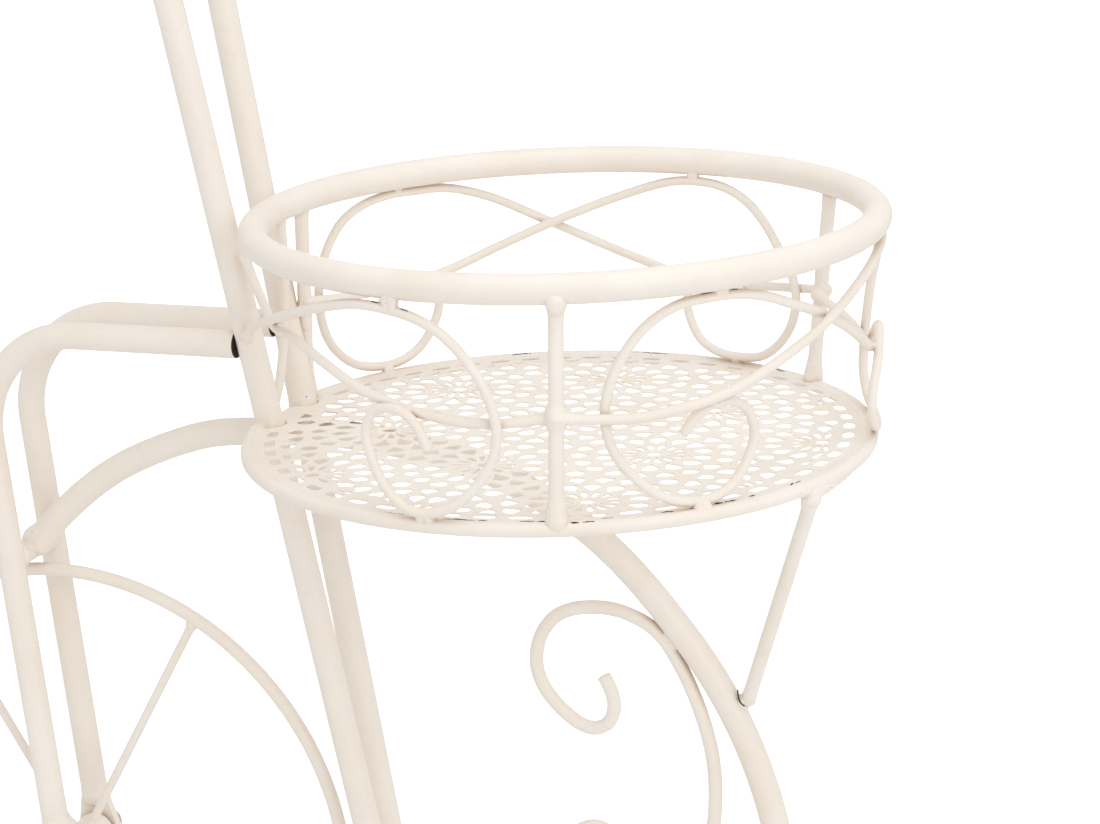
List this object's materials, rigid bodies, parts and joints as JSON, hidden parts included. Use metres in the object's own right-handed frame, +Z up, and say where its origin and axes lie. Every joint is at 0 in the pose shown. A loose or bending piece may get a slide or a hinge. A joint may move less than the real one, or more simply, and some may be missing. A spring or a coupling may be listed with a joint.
{
  "type": "flower cart stand",
  "caption": "Tricycle-shaped steel plant stand with scrollwork round baskets on a leaning twin-post mast, perforated shelves and rolling spoked wheels.",
  "frame": {"origin": "on the floor, in the middle of the stand's footprint", "axes": "+X towards the rear wheels, -X towards the large front wheel, +Y to the far side, +Z up"},
  "size_m": [0.5188, 0.2628, 0.859],
  "materials": {
    "frame_enamel": "cream satin enamel over welded steel tube",
    "basket_enamel": "cream satin enamel over welded steel rod",
    "shelf_sheet": "cream satin enamel over perforated steel sheet",
    "wheel_enamel": "cream satin enamel over steel rod",
    "zinc_hardware": "bright zinc plate",
    "end_plugs": "moulded cream plastic"
  },
  "bodies": {
    "frame": {"lower_rim": "basket_enamel", "lower_shelf_ring": "basket_enamel", "lower_shelf_plate": "shelf_sheet", "lower_upright_1": "basket_enamel", "lower_wire_1_left": "basket_enamel", "lower_wire_1_right": "basket_enamel", "lower_upright_2": "basket_enamel", "lower_wire_2_left": "basket_enamel", "lower_wire_2_right": "basket_enamel", "lower_upright_3": "basket_enamel", "lower_wire_3_left": "basket_enamel", "lower_wire_3_right": "basket_enamel", "upper_rim": "basket_enamel", "upper_shelf_ring": "basket_enamel", "upper_shelf_plate": "shelf_sheet", "upper_upright_1": "basket_enamel", "upper_wire_1_left": "basket_enamel", "upper_wire_1_right": "basket_enamel", "upper_upright_2": "basket_enamel", "upper_wire_2_left": "basket_enamel", "upper_wire_2_right": "basket_enamel", "upper_upright_3": "basket_enamel", "upper_wire_3_left": "basket_enamel", "upper_wire_3_right": "basket_enamel", "post_near": "frame_enamel", "post_plug_near": "end_plugs", "post_far": "frame_enamel", "post_plug_far": "end_plugs", "post_tie": "frame_enamel", "backbone_tube": "frame_enamel", "fork_rail_near": "frame_enamel", "fork_rail_far": "frame_enamel", "fork_bridge": "frame_enamel", "keel_tube": "frame_enamel", "rear_axle_sleeve": "frame_enamel", "basket_strut": "frame_enamel", "backbone_scroll": "frame_enamel", "bearer_near": "frame_enamel", "brace_near_front": "frame_enamel", "brace_near_rear": "frame_enamel", "bearer_far": "frame_enamel", "brace_far_front": "frame_enamel", "brace_far_rear": "frame_enamel", "front_axle": "zinc_hardware", "dropout_near": "frame_enamel", "front_nut_near": "zinc_hardware", "dropout_far": "frame_enamel", "front_nut_far": "zinc_hardware", "rear_axle": "zinc_hardware", "rear_nut_near": "zinc_hardware", "rear_nut_far": "zinc_hardware"},
    "front_wheel": {"front_wheel_rim": "wheel_enamel", "front_wheel_hub_spokes": "wheel_enamel"},
    "rear_wheel_near": {"rear_wheel_near_rim": "wheel_enamel", "rear_wheel_near_hub_spokes": "wheel_enamel"},
    "rear_wheel_far": {"rear_wheel_far_rim": "wheel_enamel", "rear_wheel_far_hub_spokes": "wheel_enamel"}
  },
  "joints": [
    {"name": "front_wheel_spin", "type": "hinge", "parent": "frame", "child": "front_wheel", "pos_m": [-0.12541, 0, 0.134], "axis": [0, 1, 0], "continuous": true},
    {"name": "rear_wheel_near_spin", "type": "hinge", "parent": "frame", "child": "rear_wheel_near", "pos_m": [0.19341, -0.095, 0.066], "axis": [0, 1, 0], "continuous": true},
    {"name": "rear_wheel_far_spin", "type": "hinge", "parent": "frame", "child": "rear_wheel_far", "pos_m": [0.19341, 0.095, 0.066], "axis": [0, 1, 0], "continuous": true}
  ]
}
